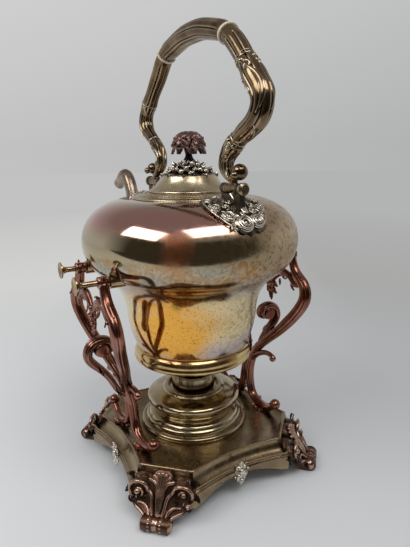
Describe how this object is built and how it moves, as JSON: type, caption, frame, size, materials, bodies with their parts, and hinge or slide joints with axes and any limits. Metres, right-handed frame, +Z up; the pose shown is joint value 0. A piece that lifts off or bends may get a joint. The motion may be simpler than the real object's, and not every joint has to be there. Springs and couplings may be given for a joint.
{
  "type": "tilting spirit kettle on stand",
  "caption": "Silver-plated tilting tea kettle with a swing handle and lift-off lid, hung by pins in a scroll-legged stand over a spirit lamp.",
  "frame": {"origin": "on the floor, on the upright axis of the kettle and of its stand", "axes": "+Z up, the spout points to -X, the tilt pins lie along Y, the lock pin is on the left (-Y) side"},
  "size_m": [0.2784, 0.2252, 0.3903],
  "materials": {
    "body_silver": "worn silver plate on brass, mottled amber tarnish on the belly",
    "cast_silver": "cast and chased, bright high points with dark oxidised recesses",
    "handle_silver": "silver plate with an even dark brown tarnish",
    "knob_copper": "plate worn off to dark brown copper",
    "ivory": "aged ivory substitute, cream, semi-gloss",
    "stand_silver": "silver plate with an olive brown tarnish",
    "leg_copper": "plate worn through to warm copper, dark recesses",
    "foot_copper": "cast, brown copper colour with dark crevices",
    "pin_silver": "polished silver plate, slightly tarnished",
    "lamp_silver": "spun silver plate with a satin olive tarnish",
    "wick_cotton": "woven cotton, slightly scorched"
  },
  "bodies": {
    "stand": {"base_plinth": "stand_silver", "foot_rear_right": "foot_copper", "foot_front_right": "foot_copper", "foot_front_left": "foot_copper", "foot_rear_left": "foot_copper", "apron_sprig_rear": "stand_silver", "apron_sprig_right": "stand_silver", "apron_sprig_front": "stand_silver", "apron_sprig_left": "stand_silver", "leg_front_left": "leg_copper", "leg_front_right": "leg_copper", "leg_rear_left": "leg_copper", "leg_rear_right": "leg_copper", "leg_nuts": "leg_copper", "crest_left": "leg_copper", "crest_right": "leg_copper", "scroll_bracket_left": "leg_copper", "scroll_bracket_right": "leg_copper", "lamp_well": "stand_silver"},
    "kettle": {"kettle_bell": "body_silver", "kettle_belly": "body_silver", "kettle_shoulder": "body_silver", "kettle_crown": "body_silver", "kettle_foot_ring": "body_silver", "neck_ring": "body_silver", "spout": "body_silver", "kettle_lug_front_left": "body_silver", "kettle_lug_front_right": "body_silver", "kettle_lug_rear_left": "body_silver", "kettle_lug_rear_right": "body_silver", "shoulder_spray_front": "cast_silver", "shoulder_spray_rear": "cast_silver", "hinge_bracket_front": "cast_silver", "hinge_bracket_rear": "cast_silver", "hinge_pin_front": "cast_silver", "hinge_pin_rear": "cast_silver"},
    "handle": {"handle_arm_front": "handle_silver", "handle_arm_rear": "handle_silver", "insulator_ring_front": "ivory", "insulator_ring_rear": "ivory", "handle_grip": "handle_silver"},
    "lid": {"lid_cover": "body_silver", "lid_foliage": "cast_silver", "knob_stem": "knob_copper", "knob_nut": "knob_copper", "knob_flower": "knob_copper"},
    "pivot_pin_left": {"pivot_pin_left": "pin_silver"},
    "pivot_pin_right": {"pivot_pin_right": "pin_silver"},
    "lock_pin": {"lock_pin": "pin_silver"},
    "lamp": {"lamp_bowl": "lamp_silver", "lamp_cover": "lamp_silver"},
    "burner_head": {"burner_tube": "lamp_silver", "burner_collar": "lamp_silver", "wick": "wick_cotton"}
  },
  "joints": [
    {"name": "kettle_tilt", "type": "hinge", "parent": "stand", "child": "kettle", "pos_m": [-0.029, 0, 0.1915], "axis": [0, -1, 0], "range_deg": [0, 45]},
    {"name": "handle_swing", "type": "hinge", "parent": "kettle", "child": "handle", "pos_m": [0, 0, 0.26], "axis": [1, 0, 0], "range_deg": [-72, 78]},
    {"name": "lid_lift", "type": "slide", "parent": "kettle", "child": "lid", "axis": [0, 0, 1], "range_m": [0, 0.045]},
    {"name": "pivot_left_pull", "type": "slide", "parent": "stand", "child": "pivot_pin_left", "axis": [0, -1, 0], "range_m": [0, 0.014]},
    {"name": "pivot_right_pull", "type": "slide", "parent": "stand", "child": "pivot_pin_right", "axis": [0, 1, 0], "range_m": [0, 0.014]},
    {"name": "lock_pin_pull", "type": "slide", "parent": "stand", "child": "lock_pin", "axis": [0, -1, 0], "range_m": [-0.0046, 0.012]},
    {"name": "lamp_lift", "type": "slide", "parent": "stand", "child": "lamp", "axis": [0, 0, 1], "range_m": [0, 0.012]},
    {"name": "burner_lift", "type": "slide", "parent": "lamp", "child": "burner_head", "axis": [0, 0, 1], "range_m": [0, 0.012]}
  ]
}
